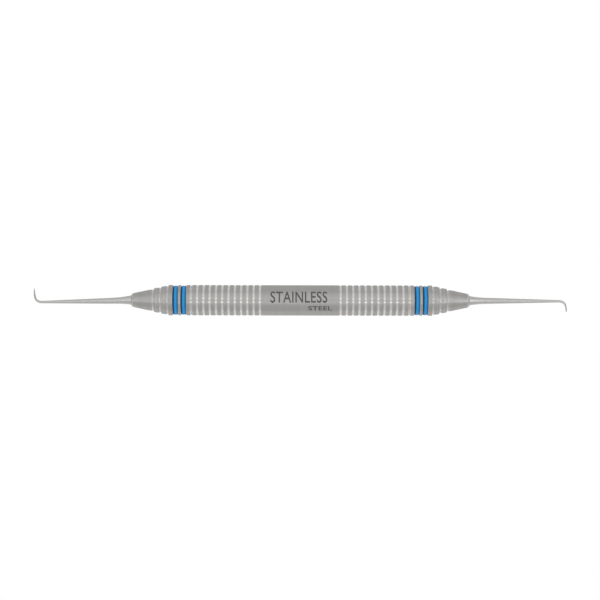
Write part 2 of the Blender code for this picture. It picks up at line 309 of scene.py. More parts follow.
def make_turning_marks():
    """Rings round the axis: noise of one dimension, read along the axis only.

    Height is fine, with finer detail added to it. Tone is a slow change from land to land.
    """
    tree, given, result = new_group("turning_marks", {"Marks per mm": 9.0}, ["Height", "Tone"])
    parts = add_node(tree, "ShaderNodeSeparateXYZ", {"Vector": given["Position"]})
    millimetres = maths(tree, "DIVIDE", parts.outputs["X"], MM)
    fine_place = maths(tree, "MULTIPLY", millimetres, given["Marks per mm"])
    fine = noise(tree, {"W": fine_place, "Scale": 1.0, "Detail": 2.0}, "1D")
    slow = noise(tree, {"W": millimetres, "Scale": LANDS_PER_MM, "Detail": 1.0}, "1D")
    tree.links.new(fine, result["Height"])
    tree.links.new(slow, result["Tone"])
    return tree


turning_marks = make_turning_marks()

# %% Fine grain
COARSE_SHARE = 0.08


def make_fine_grain():
    """A close, even noise in three dimensions, with a coarser one below it for unevenness."""
    tree, given, result = new_group("fine_grain", {"Grains per mm": 8.0}, ["Height", "Tone"])
    scale = maths(tree, "DIVIDE", given["Grains per mm"], MM)
    fine = noise(tree, {"Vector": given["Position"], "Scale": scale, "Detail": 2.0})
    coarse_scale = maths(tree, "MULTIPLY", scale, COARSE_SHARE)
    coarse = noise(tree, {"Vector": given["Position"], "Scale": coarse_scale, "Detail": 3.0})
    tree.links.new(fine, result["Height"])
    tree.links.new(coarse, result["Tone"])
    return tree


fine_grain = make_fine_grain()

# %% Handling marks


def make_handling_marks():
    """Soft patches a few millimetres across: warped noise, with only its upper part kept."""
    tree, given, result = new_group("handling_marks", {"Patch size mm": 5.0}, ["Mask"])
    scale = maths(tree, "DIVIDE", 1.0 / MM, given["Patch size mm"])
    patches = noise(tree, {
        "Vector": given["Position"], "Scale": scale, "Detail": 4.0, "Roughness": 0.6, "Distortion": 0.8})
    mask = spread(tree, patches, 0.48, 0.72, 0.0, 1.0)
    tree.links.new(mask, result["Mask"])
    return tree


handling_marks = make_handling_marks()

# %% Worn edges
WEAR_PER_MM = 0.9


def make_worn_edges():
    """The mesh's own edge value, broken up by noise so that the wear comes and goes."""
    tree, given, result = new_group("worn_edges", {"Edge": 0.0, "Amount": 0.7}, ["Mask"])
    gaps = noise(tree, {"Vector": given["Position"], "Scale": WEAR_PER_MM / MM, "Detail": 3.0})
    broken = maths(tree, "MULTIPLY", given["Edge"], spread(tree, gaps, 0.30, 0.62, 0.25, 1.0))
    worn = maths(tree, "MULTIPLY", broken, given["Amount"], clamp=True)
    tree.links.new(worn, result["Mask"])
    return tree


worn_edges = make_worn_edges()
print("shader groups:", [group.name for group in bpy.data.node_groups])

# %% [markdown]
# ## The four finishes
#
# All the steel is stainless, a grey that is slightly warm. What differs is how it was finished. The
# lands of the handle are blasted to a dull satin that scatters light evenly. The grooves were cut
# afterwards, so they are smoother and brighter. The blades and shanks are ground, with fine scratches
# that run along them. The other two finishes are moulded silicone, and a laser mark's dark oxide.
#
# Most values of a noise lie between 0.3 and 0.7. Roughness is spread over that part of it.

# %% Colours and material helpers
BLASTED_DARK = (0.455, 0.446, 0.432, 1)
BLASTED_LIGHT = (0.52, 0.510, 0.492, 1)
BLASTED_MOTTLE = (0.60, 0.59, 0.57, 1)
TURNED_STEEL = (0.86, 0.85, 0.83, 1)
GROUND_DARK = (0.58, 0.576, 0.567, 1)
GROUND_LIGHT = (0.70, 0.695, 0.685, 1)
HONED_STEEL = (0.60, 0.597, 0.59, 1)
SILICONE_DEEP = (0.012, 0.34, 0.82, 1)
SILICONE_LIGHT = (0.022, 0.41, 0.92, 1)
SILICONE_TOUCHED = (0.12, 0.50, 0.86, 1)
# A dark blue that is painted shade, for the shaded shoulders of the colour rings
SILICONE_PAINTED_SHADE = (0.004, 0.075, 0.170, 1)
OXIDE_DARK = (0.075, 0.074, 0.074, 1)
OXIDE_LIGHT = (0.20, 0.196, 0.19, 1)
NOISE_LOW = 0.3
NOISE_HIGH = 0.7


def new_material(name):
    """A material with its tree, its shader, and the object's coordinates ready to use."""
    material = bpy.data.materials.new(name)
    material.use_nodes = True
    tree = material.node_tree
    shader = tree.nodes["Principled BSDF"]
    position = add_node(tree, "ShaderNodeTexCoord").outputs["Object"]
    return material, tree, shader, position


def read_attribute(tree, name):
    """The value that a mesh carries for each point."""
    return add_node(tree, "ShaderNodeAttribute", attribute_name=name).outputs["Fac"]


def blend_colour(tree, share, low, high):
    """A colour between two others."""
    made = add_node(tree, "ShaderNodeMix", {0: share, 6: low, 7: high}, data_type="RGBA")
    return made.outputs[2]


def rough_between(tree, value, low, high):
    """A roughness that follows a noise from low to high."""
    return spread(tree, value, NOISE_LOW, NOISE_HIGH, low, high)


def share_of(tree, value, share):
    """A value made smaller."""
    return maths(tree, "MULTIPLY", value, share)


def bump(tree, height, distance, strength, normal=None):
    """A Bump node's normal, on top of another's. distance is how deep a height of 1 is, in metres."""
    below = {"Normal": normal} if normal else {}
    inputs = {"Height": height, "Distance": distance, "Strength": strength, **below}
    return add_node(tree, "ShaderNodeBump", inputs).outputs["Normal"]


# %% Satin steel


def make_satin_steel():
    """Blasted lands and brighter turned grooves, by the mesh's polish value."""
    material, tree, shader, position = new_material("satin_steel")
    polish = read_attribute(tree, "polish")
    edge = read_attribute(tree, "edge")
    marks = use_group(tree, turning_marks, {"Position": position, "Marks per mm": 11.0})
    grain = use_group(tree, fine_grain, {"Position": position, "Grains per mm": 7.0})
    touched = use_group(tree, handling_marks, {"Position": position, "Patch size mm": 6.0})["Mask"]
    worn = use_group(tree, worn_edges, {"Position": position, "Edge": edge, "Amount": 0.8})["Mask"]

    blasted = blend_colour(tree, marks["Tone"], BLASTED_DARK, BLASTED_LIGHT)
    mottled = blend_colour(tree, share_of(tree, grain["Tone"], 0.22), blasted, BLASTED_MOTTLE)
    bright = maths(tree, "MAXIMUM", polish, worn)
    colour = blend_colour(tree, bright, mottled, TURNED_STEEL)

    satin = rough_between(tree, grain["Tone"], 0.36, 0.42)
    handled = maths(tree, "SUBTRACT", satin, share_of(tree, touched, 0.05))
    rough = maths(tree, "SUBTRACT", handled, share_of(tree, bright, 0.20))

    ringed = bump(tree, marks["Height"], 0.0015 * MM, 0.5)
    frosted = bump(tree, grain["Height"], 0.003 * MM, 0.5, ringed)
    set_inputs(tree, shader, {"Metallic": 1.0, "Base Color": colour, "Roughness": rough, "Normal": frosted})
    return material


satin_steel = make_satin_steel()

# %% [markdown]
# The working ends are ground on a fine wheel, lengthways. Noise that is squeezed across the rod and
# stretched along it gives scratches that follow it. On the blade the mesh's polish value rises, and the
# scratches fade, because the blade is honed after grinding.

# %% Blade steel


def make_blade_steel():
    """Ground steel with scratches along the rod, and a honed blade."""
    material, tree, shader, position = new_material("blade_steel")
    polish = read_attribute(tree, "polish")
    edge = read_attribute(tree, "edge")
    stretched = add_node(tree, "ShaderNodeMapping", {
        "Vector": position, "Scale": (0.35 / MM, 9.0 / MM, 9.0 / MM)}).outputs["Vector"]
    scratches = noise(tree, {"Vector": stretched, "Scale": 1.0, "Detail": 3.0})
    grain = use_group(tree, fine_grain, {"Position": position, "Grains per mm": 10.0})
    touched = use_group(tree, handling_marks, {"Position": position, "Patch size mm": 4.0})["Mask"]
    worn = use_group(tree, worn_edges, {"Position": position, "Edge": edge, "Amount": 0.9})["Mask"]

    ground = blend_colour(tree, scratches, GROUND_DARK, GROUND_LIGHT)
    honed = maths(tree, "MAXIMUM", polish, worn)
    colour = blend_colour(tree, honed, ground, HONED_STEEL)

    fresh = rough_between(tree, scratches, 0.24, 0.34)
    handled = maths(tree, "ADD", fresh, share_of(tree, touched, 0.04))
    rough = maths(tree, "SUBTRACT", handled, share_of(tree, honed, 0.10))

    keep = spread(tree, polish, 0.0, 1.0, 1.0, 0.35)
    scratched = bump(tree, maths(tree, "MULTIPLY", scratches, keep), 0.004 * MM, 0.5)
    frosted = bump(tree, grain["Height"], 0.001 * MM, 0.4, scratched)
    set_inputs(tree, shader, {"Metallic": 1.0, "Base Color": colour, "Roughness": rough, "Normal": frosted})
    return material


blade_steel = make_blade_steel()

# %% [markdown]
# The colour rings show which instrument belongs to which set. They are moulded from coloured silicone:
# a deep, even blue with a soft sheen and a very fine mould texture. It is a little paler where it has
# been touched. Along its shoulders it is much darker, and that darkening is painted shade.

# %% Blue silicone


def make_blue_silicone():
    """Moulded silicone with a satin skin, and painted shade where the mesh's polish value is low."""
    material, tree, shader, position = new_material("blue_silicone")
    grain = use_group(tree, fine_grain, {"Position": position, "Grains per mm": 9.0})
    touched = use_group(tree, handling_marks, {"Position": position, "Patch size mm": 2.0})["Mask"]
    unshaded_share = read_attribute(tree, "polish")

    body = blend_colour(tree, grain["Tone"], SILICONE_DEEP, SILICONE_LIGHT)
    rubbed = blend_colour(tree, share_of(tree, touched, 0.10), body, SILICONE_TOUCHED)
    # Painted shade: where the polish value is low, the blue is darkened towards the shaded colour
    colour = blend_colour(tree, unshaded_share, SILICONE_PAINTED_SHADE, rubbed)

    moulded = rough_between(tree, grain["Tone"], 0.36, 0.46)
    rough = maths(tree, "SUBTRACT", moulded, share_of(tree, touched, 0.06))
    frosted = bump(tree, grain["Height"], 0.004 * MM, 0.5)
    set_inputs(tree, shader, {"IOR": 1.41, "Base Color": colour, "Roughness": rough, "Normal": frosted})
    return material


blue_silicone = make_blue_silicone()

# %% [markdown]
# The marking on the middle band is burnt in with a laser. The heat grows a dark oxide skin on the
# steel, so the mark is not paint: it is still metal, darker, rougher, and a little uneven along its
# strokes because the beam passes over it in fine lines.

# %% Laser mark


def make_laser_mark():
    """Dark oxide on steel, with the beam's hatching."""
    material, tree, shader, position = new_material("laser_mark")
    marks = use_group(tree, turning_marks, {"Position": position, "Marks per mm": 14.0})
    grain = use_group(tree, fine_grain, {"Position": position, "Grains per mm": 12.0})
    uneven = share_of(tree, maths(tree, "ADD", marks["Height"], grain["Tone"]), 0.5)
    colour = blend_colour(tree, uneven, OXIDE_DARK, OXIDE_LIGHT)
    rough = rough_between(tree, uneven, 0.50, 0.62)
    frosted = bump(tree, grain["Height"], 0.002 * MM, 0.5)
    set_inputs(tree, shader, {
        "Metallic": 0.55, "Base Color": colour, "Roughness": rough, "Normal": frosted})
    return material


laser_mark = make_laser_mark()
print("materials:", [material.name for material in (satin_steel, blade_steel, blue_silicone, laser_mark)])

# %% [markdown]
# ## The handle tube
#
# The handle is a tube so that it is light. A round-nosed tool cuts each finger groove: two sides at 45
# degrees that meet in a round floor, with a small radius where they leave the surface. Every groove is
# the same three corners, moved along by the pitch. The last groove on each side is cut half in the tube
# and half in the nose, which hides the joint between them.

# %% Handle tube
BAND_LENGTH = 25.25 * MM
GROOVES_PER_SIDE = 11
GROOVE_PITCH = (SEAM - BAND_LENGTH / 2) / GROOVES_PER_SIDE
GROOVE_WIDTH = 0.70 * MM
GROOVE_FLOOR_RADIUS = 0.28 * MM
GROOVE_EDGE_RADIUS = 0.05 * MM
TUBE_WALL = 0.65 * MM
SMALL_RADIUS = 0.03 * MM
LEAD_IN = 0.15 * MM


def groove_corners(middle):
    """The three corners of a groove: its two rims, and the point where its sides would meet."""
    half = GROOVE_WIDTH / 2
    return [
        (middle - half, HANDLE_RADIUS, GROOVE_EDGE_RADIUS, 1.0),
        (middle, HANDLE_RADIUS - half, GROOVE_FLOOR_RADIUS, 1.0),
        (middle + half, HANDLE_RADIUS, GROOVE_EDGE_RADIUS, 0.0),
    ]


def half_groove(seam, face, side):
    """Half a groove: its rim, the end of its slope, and the face at the seam, from left to right.

    side is 1 for the half before the seam, and -1 for the half after it, which is the same turned
    round. The floor lies above the point where the slopes would meet, by the rise of its fillet.
    """
    rise = GROOVE_FLOOR_RADIUS * (math.sqrt(2) - 1)
    floor = HANDLE_RADIUS - GROOVE_WIDTH / 2 + rise
    corners = [
        (seam - side * GROOVE_WIDTH / 2, HANDLE_RADIUS, GROOVE_EDGE_RADIUS),
        (seam - side * rise, floor, GROOVE_FLOOR_RADIUS),
        (face, floor, SMALL_RADIUS),
    ]
    return [(*corner, polish) for corner, polish in zip(corners[::side], (1.0, 1.0, 0.0))]


def tube_corners():
    """Along the outside with every groove, then back along the bore."""
    end = SEAM - BOND_GAP / 2
    bore = HANDLE_RADIUS - TUBE_WALL
    middles = BAND_LENGTH / 2 + GROOVE_PITCH * np.arange(GROOVES_PER_SIDE)
    corners = half_groove(-SEAM, -end, -1)
    for middle in np.concatenate([-middles[::-1], middles]):
        corners += groove_corners(middle)
    corners += half_groove(SEAM, end, 1)
    corners += [
        (end, bore + LEAD_IN, SMALL_RADIUS, 0.0),
        (end - LEAD_IN, bore, SMALL_RADIUS, 0.0),
        (-end + LEAD_IN, bore, SMALL_RADIUS, 0.0),
        (-end, bore + LEAD_IN, SMALL_RADIUS, 0.0),
    ]
    return corners


handle = turned_piece("handle", rounded_outline(tube_corners(), closed=True, steps=5), loop=True)
handle.data.materials.append(satin_steel)
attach(handle, "root")
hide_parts("handle_tube")

# %% [markdown]
# ## The stepped noses
#
# Each nose is one turned part. Behind the seam is a spigot, hollow to save weight, with two grooves that
# hold the bonding compound. In front of it come two square seats for the colour rings, a full-width
# land, two ribs that step down, and a long cone with a rounded mouth. A narrow neck stands before each
# step. The outline starts on the axis inside the spigot, runs along the outside to the mouth and
# returns along the drilled hole to the axis.

# %% Nose sizes
SEAT_WIDTH = 1.74 * MM
SEAT_DEPTH = 1.15 * MM
END_LAND = 1.34 * MM
NECK_WIDTH = 0.45 * MM
NECK_DEPTH = 0.20 * MM
NECK_POLISH = 0.75
RIB_LENGTH = 1.90 * MM
RIB_ROLL = 0.85 * MM
STEPS_DOWN = (0.36 * MM, 0.51 * MM, 0.55 * MM)
TANG_RADIUS = 1.50 * MM
NOSE_TIP_RADIUS = 2.10 * MM
NOSE_ROUND = 0.42 * MM
NOSE_SWELL = 0.10 * MM
SWELL_PLACE = 1.30 * MM
EDGE_BREAK = 0.08 * MM
TANG_LENGTH = 13.5 * MM
BORE_CLEARANCE = 0.5 * MM
BORE_WEB = 1.85 * MM
DRILL_POINT = math.radians(118)
SPIGOT_WALL = 1.10 * MM
BOND_GROOVE_HALF = 0.4 * MM
BOND_GROOVE_DEPTH = 0.2 * MM
SEAT_POLISH = 0.6
ROLL_RISE = 0.04 * MM
MOUTH_RISE = 0.06 * MM
FILLETS = {
    "hollow": 0.30 * MM, "bond groove": 0.08 * MM, "seat": 0.10 * MM, "land": 0.12 * MM,
    "neck": 0.10 * MM, "step": 0.04 * MM, "crest": 0.08 * MM, "roll": 0.35 * MM,
    "foot": 0.30 * MM, "swell": 6.0 * MM,
}

ring_boxes = [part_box(f"colour_ring_right_{position}") for position in ("inner", "outer")]
SEAT_CENTRES = [(low[0] + high[0]) / 2 for low, high in ring_boxes]
print("ring seats at", [round(centre / MM, 2) for centre in SEAT_CENTRES], "mm from the middle")

# %% The nose's outline


def spigot_corners():
    """The hidden half, from the axis to the seam, with two grooves for the bonding compound."""
    radius = HANDLE_RADIUS - TUBE_WALL - BOND_GAP
    hollow = radius - SPIGOT_WALL
    bore_point = bore_corners()[-1][0]
    hollow_end = bore_point - BORE_WEB
    floor = radius - BOND_GROOVE_DEPTH
    floor_half = BOND_GROOVE_HALF - BOND_GROOVE_DEPTH
    corners = [
        (hollow_end, 0.0, 0.0, 0.0),
        (hollow_end, hollow, FILLETS["hollow"], 0.0),
        (SPIGOT_START, hollow, SMALL_RADIUS, 0.0),
        (SPIGOT_START, radius - LEAD_IN, SMALL_RADIUS, 0.0),
        (SPIGOT_START + LEAD_IN, radius, SMALL_RADIUS, 0.0),
    ]
    for share in (1 / 3, 2 / 3):
        middle = SPIGOT_START + (SEAM - SPIGOT_START) * share
        corners += [
            (middle - BOND_GROOVE_HALF, radius, SMALL_RADIUS, 0.0),
            (middle - floor_half, floor, FILLETS["bond groove"], 0.0),
            (middle + floor_half, floor, FILLETS["bond groove"], 0.0),
            (middle + BOND_GROOVE_HALF, radius, SMALL_RADIUS, 0.0),
        ]
    return corners + [(SEAM + BOND_GAP / 2, radius, SMALL_RADIUS, 0.0)]


def seat_corners(middle):
    """A square-sided seat with small chamfers at its rims."""
    start = middle - SEAT_WIDTH / 2
    end = middle + SEAT_WIDTH / 2
    floor = HANDLE_RADIUS - SEAT_DEPTH
    return [
        (start - EDGE_BREAK, HANDLE_RADIUS, SMALL_RADIUS, SEAT_POLISH),
        (start, HANDLE_RADIUS - EDGE_BREAK, SMALL_RADIUS, SEAT_POLISH),
        (start, floor, FILLETS["seat"], SEAT_POLISH),
        (end, floor, FILLETS["seat"], SEAT_POLISH),
        (end, HANDLE_RADIUS - EDGE_BREAK, SMALL_RADIUS, SEAT_POLISH),
        (end + EDGE_BREAK, HANDLE_RADIUS, SMALL_RADIUS, 0.0),
    ]


def step_corners(start):
    """The necks, the two ribs, and the cone up to its rounded mouth."""
    corners = [(start, HANDLE_RADIUS, FILLETS["land"], NECK_POLISH)]
    crest = HANDLE_RADIUS
    for count, step in enumerate(STEPS_DOWN):
        crest -= step
        corners.append((start + NECK_WIDTH / 2, crest - NECK_DEPTH, FILLETS["neck"], NECK_POLISH))
        start += NECK_WIDTH
        corners.append((start, crest - NECK_DEPTH / 2, FILLETS["step"], NECK_POLISH))
        corners.append((start + NECK_DEPTH / 2, crest, FILLETS["crest"], 0.0))
        if count < len(STEPS_DOWN) - 1:
            roll_start = start + RIB_LENGTH - RIB_ROLL
            start += RIB_LENGTH
            foot = crest - STEPS_DOWN[count + 1]
            corners.append((roll_start, crest, FILLETS["roll"], 0.0))
            corners.append((start, (crest + foot) / 2 + ROLL_RISE, FILLETS["foot"], 0.0))
            corners.append((start, foot, FILLETS["step"], NECK_POLISH))
    straight = crest - (crest - NOSE_TIP_RADIUS) * SWELL_PLACE / (MOUTH - start)
    return corners + [
        (start + SWELL_PLACE, straight + NOSE_SWELL, FILLETS["swell"], 0.0),
        (MOUTH - NOSE_ROUND, NOSE_TIP_RADIUS + MOUTH_RISE, 2 * NOSE_ROUND, 0.0),
        (MOUTH, NOSE_TIP_RADIUS - 0.7 * NOSE_ROUND, 0.5 * NOSE_ROUND, 0.0),
    ]


def bore_corners():
    """The drilled hole for the tang, from the mouth to the drill's point on the axis."""
    bore = TANG_RADIUS + BOND_GAP
    bore_end = MOUTH - TANG_LENGTH - BORE_CLEARANCE
    return [
        (MOUTH, bore + EDGE_BREAK, SMALL_RADIUS, 0.0),
        (MOUTH - EDGE_BREAK, bore, SMALL_RADIUS, 0.0),
        (bore_end, bore, SMALL_RADIUS, 0.0),
        (bore_end - bore / math.tan(DRILL_POINT / 2), 0.0, 0.0, 0.0),
    ]


def nose_corners():
    """The whole outline of a nose."""
    face = SEAM + BOND_GAP / 2
    corners = spigot_corners() + half_groove(SEAM, face, -1)
    for middle in SEAT_CENTRES:
        corners += seat_corners(middle)
    land_end = SEAT_CENTRES[-1] + SEAT_WIDTH / 2 + END_LAND
    return corners + step_corners(land_end) + bore_corners()


# %% Both noses
nose_outline = rounded_outline(nose_corners(), closed=False, steps=7)
for side, label in ((-1, "left"), (1, "right")):
    nose = turned_piece(f"nose_{label}", nose_outline, loop=False, side=side)
    nose.data.materials.append(satin_steel)
    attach(nose, "root")
    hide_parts(f"end_piece_{label}")

# %% [markdown]
# ## The colour rings
#
# A ring is moulded a little smaller than its seat and stretched over it. Its section is a D: flat where
# it grips the seat, with rounded shoulders and a crown that stands just below the steel beside it, so
# that it doesn't rub off. The crown is lit, and the shoulders get painted shade, more on the left one.
# On a ring, the mesh's polish value says how unshaded each part is: 0 gives the full painted shade.

# %% Colour rings
RING_GAP = 0.05 * MM
RING_RECESS = 0.20 * MM
SHOULDER_RADIUS = 0.15 * MM
RING_INNER_RADIUS = 0.08 * MM
# The width, drop and unshaded share of a ring's left and right shoulders; 0 is full painted shade
SHOULDERS = ((0.52 * MM, 0.20 * MM, 0.0), (0.46 * MM, 0.16 * MM, 0.5))


def ring_corners(middle, before, after):
    """The section of a ring, along its outer face and back along its flat inner one."""
    start = middle - SEAT_WIDTH / 2 + RING_GAP
    end = middle + SEAT_WIDTH / 2 - RING_GAP
    inner = HANDLE_RADIUS - SEAT_DEPTH + RING_GAP
    crown = HANDLE_RADIUS - RING_RECESS
    # The fourth value is the polish value, here the unshaded share: the walls and inner face get full
    # painted shade, the crown none
    return [
        (start, inner, RING_INNER_RADIUS, 0.0),
        (start, crown - before[1], SHOULDER_RADIUS, before[2]),
        (start + before[0], crown, 2 * SHOULDER_RADIUS, 1.0),
        (end - after[0], crown, 2 * SHOULDER_RADIUS, after[2]),
        (end, crown - after[1], SHOULDER_RADIUS, 0.0),
        (end, inner, RING_INNER_RADIUS, 0.0),
    ]


for side, label in ((-1, "left"), (1, "right")):
    shoulders = SHOULDERS[::side]
    for position, middle in zip(("inner", "outer"), SEAT_CENTRES):
        outline = rounded_outline(ring_corners(middle, *shoulders), closed=True, steps=9)
        ring = turned_piece(f"ring_{label}_{position}", outline, loop=True, side=side)
        ring.data.materials.append(blue_silicone)
        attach(ring, "root")
        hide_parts(f"colour_ring_{label}_{position}")

# %% [markdown]
# ## The working ends
#
# A working end is ground from one rod. Inside the nose it is a plain tang with a knurled length that
# grips the bond. Outside, it flares in at the root, tapers for about 28 mm, bends sharply, and becomes
# a sickle blade: three-sided, flat on the inside of the bend, with two cutting edges and a narrow back.
#
# The rod is swept along a path in the horizontal plane. The path is given by its heading: at each
# distance the rod points in some direction, and adding up the small steps in those directions gives
# the places. So a straight run is a constant heading, and a bend is a heading that changes.
#
# Across the path, a point at the angle g stands at the radius r(g). For a round rod r is constant.
# For a three-sided one, let h1, h2 and h3 be how far the direction g leans towards each of the three
# sides, none below zero. Then r is one over the p-th root of the sum of their p-th powers. A large p
# gives flat sides and crisp edges. The blade mixes the two, and the mix grows through the bend.

# %% The rod's path and section
ROD_SIDES = 144
KNURL_RIDGES = 24
TRIANGLE_POWER = 14.0
TRIANGLE_FLAT = 0.62


def smooth_rise(distance, start, length):
    """A value that rises from 0 at start to 1 a length further on, and is level at both ends."""
    share = np.clip((distance - start) / length, 0, 1)
    return share * share * (3 - 2 * share)


def steady_rise(distance, start, length):
    """A value that rises in a straight line from 0 at start to 1 a length further on."""
    return np.clip((distance - start) / length, 0, 1)


def path_from_heading(distance, heading):
    """X and Y along a path: the running sum of steps in the heading's direction, 0 at the mouth."""
    middle = (heading[1:] + heading[:-1]) / 2
    steps = [np.diff(distance) * part for part in (np.cos(middle), np.sin(middle))]
    places = [np.append(0, np.cumsum(step)) for step in steps]
    return [place - np.interp(0.0, distance, place) for place in places]


def three_sided(angle):
    """The radius of a three-sided section with a flat side at angle 0, as a share of a round one's."""
    directions = np.array([0, math.tau / 3, -math.tau / 3])
    lean = np.maximum(np.cos(angle[:, None] - directions) / TRIANGLE_FLAT, 0)
    return (lean**TRIANGLE_POWER).sum(axis=1) ** (-1 / TRIANGLE_POWER)


# %% [markdown]
# The two ends differ, as on most scalers. The left blade is the longer one, with a slightly tighter bend
# and a finer point. Its shank leans back from its hook by about a degree, and a little more near the
# root. The right blade is shorter and blunter, and its shank is nearly straight. Everything else about
# them is the same.
#
# Some changes start part of the way round the bend, so their places are shares of the bend's length.

# %% The rod's sizes
SHANK_START = 2.20 * MM
SHANK_END = 0.77 * MM
ROOT_FLARE = 5.0 * MM
KNURL_START = -10.5 * MM
KNURL_LENGTH = 7.0 * MM
KNURL_HEIGHT = 0.10 * MM
KNURL_EASE = 0.4 * MM
ROOT_TURN = 1.2 * MM
END_RING = 0.02 * MM
BEND_EASE = 0.12
BLADE_STARTS = 0.45
SIDES_START = 0.25
SIDES_SHARE = 0.92
TAPER_POWER = 1.3
CORNER_STARTS = 0.95
CORNER_RISE = 0.20
BLUNTNESS = 0.02
STATIONS = (6, 28, 6, 28, 40, 40, 24)
POINT_STATIONS = 18
FIT_PASSES = 4

LEFT_END = {
    "root_lean": math.radians(2.5), "lean": math.radians(1.16),
    "bend": math.radians(80), "bend_radius": 2.10 * MM,
    "blade_length": 2.78 * MM, "blade_curve": math.radians(12),
    "blade_depth": 0.62 * MM, "point_depth": 0.18 * MM, "point_length": 0.8 * MM,
}
RIGHT_END = {
    "root_lean": math.radians(-0.2), "lean": math.radians(-0.2),
    "bend": math.radians(80), "bend_radius": 2.20 * MM,
    "blade_length": 1.55 * MM, "blade_curve": math.radians(10),
    "blade_depth": 0.47 * MM, "point_depth": 0.40 * MM, "point_length": 0.35 * MM,
}


def rod_stations(shank, bend, blade, point):
    """Distances from the mouth where the rod's section is drawn, closer where more happens.

    STATIONS counts them from each stop to the next, and POINT_STATIONS on the rounded point.
    """
    tip = shank + bend + blade
    stops = [
        -TANG_LENGTH + LEAD_IN, KNURL_START, KNURL_START + KNURL_LENGTH, 0,
        ROOT_FLARE, shank, shank + bend, tip - point,
    ]
    chamfer = [-TANG_LENGTH, -TANG_LENGTH + END_RING, stops[0]]
    runs = [np.linspace(low, high, count)[1:] for low, high, count in zip(stops, stops[1:], STATIONS)]
    quarter = np.linspace(0, math.pi / 2, POINT_STATIONS)[1:-1]
    return np.concatenate([chamfer, *runs, tip - point + point * np.sin(quarter), [tip]])


# %% The rod as a surface


def rod_piece(name, end, reach, side):
    """A working end. reach is the distance from the mouth to the hook's outermost point, along X.

    The shank's length is found in a few passes, each of which adds what the one before fell short.
    """
    bend = end["bend"] * end["bend_radius"]
    blade = end["blade_length"]
    shank = reach
    for _ in range(FIT_PASSES):
        distance = rod_stations(shank, bend, blade, end["point_length"])
        heading = (
            end["root_lean"] * smooth_rise(distance, 0, ROOT_TURN)
            + (end["lean"] - end["root_lean"]) * smooth_rise(distance, ROOT_FLARE, ROOT_FLARE / 2)
            - end["bend"] * smooth_rise(distance, shank - BEND_EASE * bend, (1 + 2 * BEND_EASE) * bend)
            - end["blade_curve"] * steady_rise(distance, shank + bend, blade)
        )
        x, y = path_from_heading(distance, heading)
        points, values = rod_surface(distance, heading, x, y, end, shank, bend, blade)
        shank += reach - points[..., 0].max()
    rows = len(distance)
    points[..., 0] += MOUTH
    points = (points * (side, side, 1)).reshape(-1, 3)
    points[:, 2] += AXIS_HEIGHT
    ends = points.reshape(rows, ROD_SIDES, 3)[[0, -1]].mean(axis=1)
    faces = [
        grid_faces(rows, ROD_SIDES, loop=False),
        fan_faces(len(points), 0, ROD_SIDES, True),
        fan_faces(len(points) + 1, (rows - 1) * ROD_SIDES, ROD_SIDES, False),
    ]
    attributes = {
        label: np.concatenate([layer.reshape(-1), layer[[0, -1], 0]]) for label, layer in values.items()}
    return smooth_mesh(name, np.concatenate([points, ends]), faces, attributes)


def rod_surface(distance, heading, x, y, end, shank, bend, blade):
    """The rod's points, and its polish and edge values.

    At each station a section stands square to the heading. Its depth follows the tang, the flare, the
    shank's taper, the blade and the rounded point in turn.
    """
    angle = np.linspace(0, math.tau, ROD_SIDES, endpoint=False)
    taper = SHANK_START + (SHANK_END - SHANK_START) * steady_rise(distance, 0, shank)
    flare = (2 * TANG_RADIUS - SHANK_START) * np.clip(1 - distance / ROOT_FLARE, 0, 1) ** 2
    depth = np.where(distance > 0, taper + flare, 2 * TANG_RADIUS)
    chamfer = np.clip(1 - (distance + TANG_LENGTH) / LEAD_IN, 0, 1)
    depth = depth - 2 * LEAD_IN * chamfer
    into_blade = smooth_rise(distance, shank + BLADE_STARTS * bend, (1 - BLADE_STARTS) * bend)
    depth = depth * (1 - into_blade) + end["blade_depth"] * into_blade
    along_blade = steady_rise(distance, shank + bend, blade) ** TAPER_POWER
    depth = depth + (end["point_depth"] - end["blade_depth"]) * along_blade
    point_start = shank + bend + blade - end["point_length"]
    to_tip = steady_rise(distance, point_start, end["point_length"])
    depth = depth * np.sqrt(np.maximum(1 - to_tip**2, BLUNTNESS**2))

    mix = SIDES_SHARE * smooth_rise(distance, shank + SIDES_START * bend, (1 - SIDES_START) * bend)
    radius = depth / (2 * (1 - mix) + 3 * TRIANGLE_FLAT * mix)
    shape = (1 - mix)[:, None] + mix[:, None] * three_sided(angle)[None, :]
    in_knurl = smooth_rise(distance, KNURL_START, KNURL_EASE) * (
        1 - smooth_rise(distance, KNURL_START + KNURL_LENGTH - KNURL_EASE, KNURL_EASE))
    ridges = np.abs(np.sin(angle * KNURL_RIDGES / 2))
    section = radius[:, None] * shape - KNURL_HEIGHT * in_knurl[:, None] * (1 - ridges)
    inward = section * np.cos(angle)
    sideways = section * np.sin(angle)
    points = np.stack([
        x[:, None] + inward * np.sin(heading)[:, None],
        y[:, None] - inward * np.cos(heading)[:, None],
        sideways,
    ], axis=-1)
    corner = smooth_rise(three_sided(angle), CORNER_STARTS, CORNER_RISE)
    polish = np.broadcast_to(smooth_rise(distance, shank, bend)[:, None], section.shape)
    edge = mix[:, None] * corner[None, :]
    return points, {"polish": polish, "edge": edge}


for side, label, end in ((-1, "left", LEFT_END), (1, "right", RIGHT_END)):
    low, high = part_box(f"working_end_{label}")
    outermost = max(abs(low[0]), abs(high[0]))
    rod = rod_piece(f"rod_{label}", end, outermost - MOUTH, side)
    rod.data.materials.append(blade_steel)
    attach(rod, "root")
    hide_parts(f"working_end_{label}")

